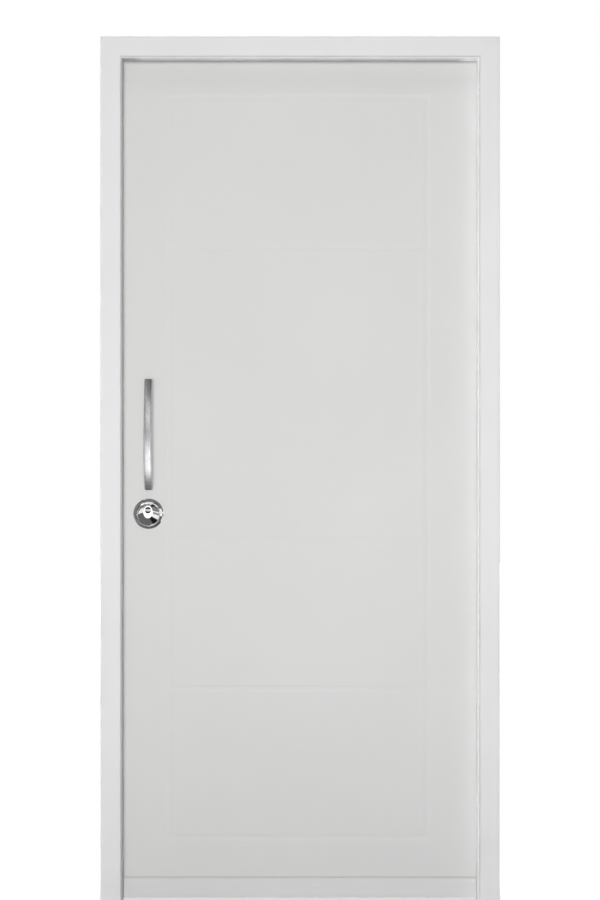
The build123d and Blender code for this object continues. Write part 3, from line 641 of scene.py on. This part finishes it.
middle = (cad_box[0] + cad_box[1]) / 2
half_size = (cad_box[1] - cad_box[0]) / 2
floor_across = (middle.x - floor_half, middle.x + floor_half)
floor_along = (middle.y - floor_half, middle.y + floor_half)
floor = board("studio_floor", level(cad_box[0].z - floor_drop, floor_across, floor_along))
floor_finish, tree, shader, place = blank_finish("floor_finish")
tree.nodes.remove(shader)
from_middle = add_node(tree, "ShaderNodeVectorMath", {0: place, 1: middle}, operation="SUBTRACT").outputs[0]
folded = add_node(tree, "ShaderNodeVectorMath", {0: from_middle}, operation="ABSOLUTE").outputs[0]
past = add_node(tree, "ShaderNodeVectorMath", {0: folded, 1: half_size}, operation="SUBTRACT").outputs[0]
outside = add_node(tree, "ShaderNodeVectorMath", {0: past}, operation="MAXIMUM").outputs[0]
from_door = add_node(tree, "ShaderNodeVectorMath", {0: outside}, operation="LENGTH").outputs["Value"]
# Painted shadow: the glow is lower right round the door's foot, which darkens the floor there.
contact_shadow_glow = span(tree, from_door, 0.0, contact_shadow_reach, *floor_glow[:2])
far_glow = span(tree, from_door, *floor_fade, *floor_glow[1:])
glow = maths(tree, "SUBTRACT", maths(tree, "ADD", contact_shadow_glow, far_glow), floor_glow[1])
glow = maths(tree, "MULTIPLY", glow, seen_share(tree))
matt = add_node(tree, "ShaderNodeBsdfDiffuse", {"Color": floor_colour}).outputs[0]
light = add_node(tree, "ShaderNodeEmission", {"Strength": glow}).outputs[0]
both = add_node(tree, "ShaderNodeAddShader", {0: matt, 1: light}).outputs[0]
tree.links.new(both, tree.nodes["Material Output"].inputs["Surface"])
floor.data.materials.append(floor_finish)

# Studio light: a front softbox, a side one that rakes in from the lock side, a high one and a white room.
# The room lights the door less from the front than from behind.
room_white = (1.0, 1.0, 1.0, 1.0)
room_light = (0.137, 1.15)
room_turn = (-0.1, 0.3)
front_place = (-0.45, -4.7, 1.2)
front_size = (0.9, 0.9)
front_watts = 139
side_place = (-12.0, -0.7, 1.3)
side_size = (1.2, 4.0)
side_watts = 370
high_place = (-0.45, -2.6, 8.0)
high_size = (1.6, 1.2)
high_watts = 75

door_middle = Vector((middle.x, 0.0, middle.z))
world = bpy.data.worlds.new("studio_room")
bpy.context.scene.world = world
world.use_nodes = True
tree = world.node_tree
room = tree.nodes["Background"]
room.inputs["Color"].default_value = room_white
looking = add_node(tree, "ShaderNodeTexCoord").outputs["Generated"]
indoors_share = add_node(tree, "ShaderNodeSeparateXYZ", {"Vector": looking}).outputs["Y"]
fill = span(tree, indoors_share, *room_turn, *room_light)
tree.links.new(span(tree, seen_share(tree), 0.0, 1.0, fill, 1.0), room.inputs["Strength"])


def softbox(name, place, size, watts):
    """Area lamp aimed at the middle of the door, hidden from reflections."""
    lamp = bpy.data.lights.new(name, "AREA")
    lamp.shape = "RECTANGLE"
    lamp.size, lamp.size_y = size
    lamp.energy = watts
    holder = bpy.data.objects.new(name, lamp)
    holder.location = place
    holder.rotation_euler = (door_middle - Vector(place)).to_track_quat("-Z", "Y").to_euler()
    holder.visible_glossy = False
    bpy.context.scene.collection.objects.link(holder)


softbox("front_softbox", front_place, front_size, front_watts)
softbox("side_softbox", side_place, side_size, side_watts)
softbox("high_softbox", high_place, high_size, high_watts)

# Mirror cards: light and dark boards round the door that show only in reflections, as in a light tent.
# Those in front grade the pull handle from end to end, and the rest give the lock its light and dark parts.
front_wall = -4.4
front_across = (-3.0, 0.5)
front_left_wall = -4.39
front_left_across = (-3.0, -1.7)
left_wall = -3.2
left_along = (-4.4, -1.3)
right_wall = -3.0
right_across = (0.7, 3.5)
dark_top_ends = ((-0.23, -0.36), (0.62, -1.06), (0.88, -0.74), (0.03, -0.04))
dark_floor_ends = ((-0.71, -0.94), (0.03, -1.41), (0.21, -1.13), (-0.51, -0.66))
white_floor_ends = ((0.1, -1.55), (2.45, -3.75), (2.8, -3.37), (0.45, -1.17))


def upright(wall, across, heights):
    """Corners of an upright board that faces the door."""
    (left, right), (foot, top) = across, heights
    return [(x, wall, z) for x, z in ((left, foot), (right, foot), (right, top), (left, top))]


def sideways(wall, along, heights):
    """Corners of an upright board that stands beside the door."""
    (near_end, far_end), (foot, top) = along, heights
    return [(wall, y, z) for y, z in ((near_end, foot), (far_end, foot), (far_end, top), (near_end, top))]


def slanting(height, *ends):
    """Corners of a level strip that runs aslant."""
    return [(x, y, height) for x, y in ends]


cards = {
    "top_card": (level(2.55, (-1.5, 3.0), (-4.4, -0.1)), 0.2),
    "low_card": (level(0.002, (-4.0, 3.0), (-3.0, -0.1)), 0.15),
    "front_card": (upright(front_wall, front_across, (0.01, 0.78)), 1.9),
    "middle_card": (upright(front_wall, front_across, (1.0, 1.4)), 0.6),
    "upper_card": (upright(front_wall, front_across, (1.5, 2.1)), 1.25),
    "front_left_low": (upright(front_left_wall, front_left_across, (0.01, 0.95)), 0.9),
    "front_left_middle": (upright(front_left_wall, front_left_across, (0.95, 1.45)), 0.3),
    "front_left_high": (upright(front_left_wall, front_left_across, (1.45, 2.4)), 0.6),
    "left_top_card": (sideways(left_wall, (-4.4, -0.15), (2.0, 7.0)), 0.17),
    "left_high_card": (sideways(left_wall, left_along, (1.5, 2.0)), 0.12),
    "left_middle_card": (sideways(left_wall, left_along, (1.14, 1.5)), 0.3),
    "left_low_card": (sideways(left_wall, (-2.0, -1.2), (0.01, 0.7)), 0.14),
    "right_low_card": (upright(right_wall, right_across, (0.1, 0.75)), 0.3),
    "right_high_card": (upright(right_wall, right_across, (1.3, 2.5)), 0.2),
    "dark_top_strip": (slanting(2.54, *dark_top_ends), 0.02),
    "dark_floor_strip": (slanting(0.004, *dark_floor_ends), 0.01),
    "white_floor_strip": (slanting(0.004, *white_floor_ends), 1.0),
}
for name, (corners, strength) in cards.items():
    card = board(name, corners)
    finish, tree, shader, place = blank_finish(name)
    tree.nodes.remove(shader)
    light = add_node(tree, "ShaderNodeEmission", {"Strength": strength}).outputs[0]
    tree.links.new(light, tree.nodes["Material Output"].inputs["Surface"])
    card.data.materials.append(finish)
    card.visible_camera = False
    card.visible_diffuse = False
    card.visible_shadow = False
    card.visible_transmission = False

# Camera: level, square to the door and a little over lever height, as a product photograph is taken.
# At the frame's face, each of the picture's 900 rows is 2.4 mm of the door.
camera_distance = 3.0
camera_height = 1.0914
camera_lens = 50.0
camera_sensor = 36.0
level_turn = radians(90)

eye = bpy.data.cameras.new("camera")
eye.lens = camera_lens
eye.sensor_width = camera_sensor
camera = bpy.data.objects.new("camera", eye)
camera.location = (middle.x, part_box("head_jamb")[0].y - camera_distance, camera_height)
camera.rotation_euler = (level_turn, 0.0, 0.0)
bpy.context.scene.collection.objects.link(camera)
bpy.context.scene.camera = camera
bpy.context.scene.view_settings.view_transform = "Standard"
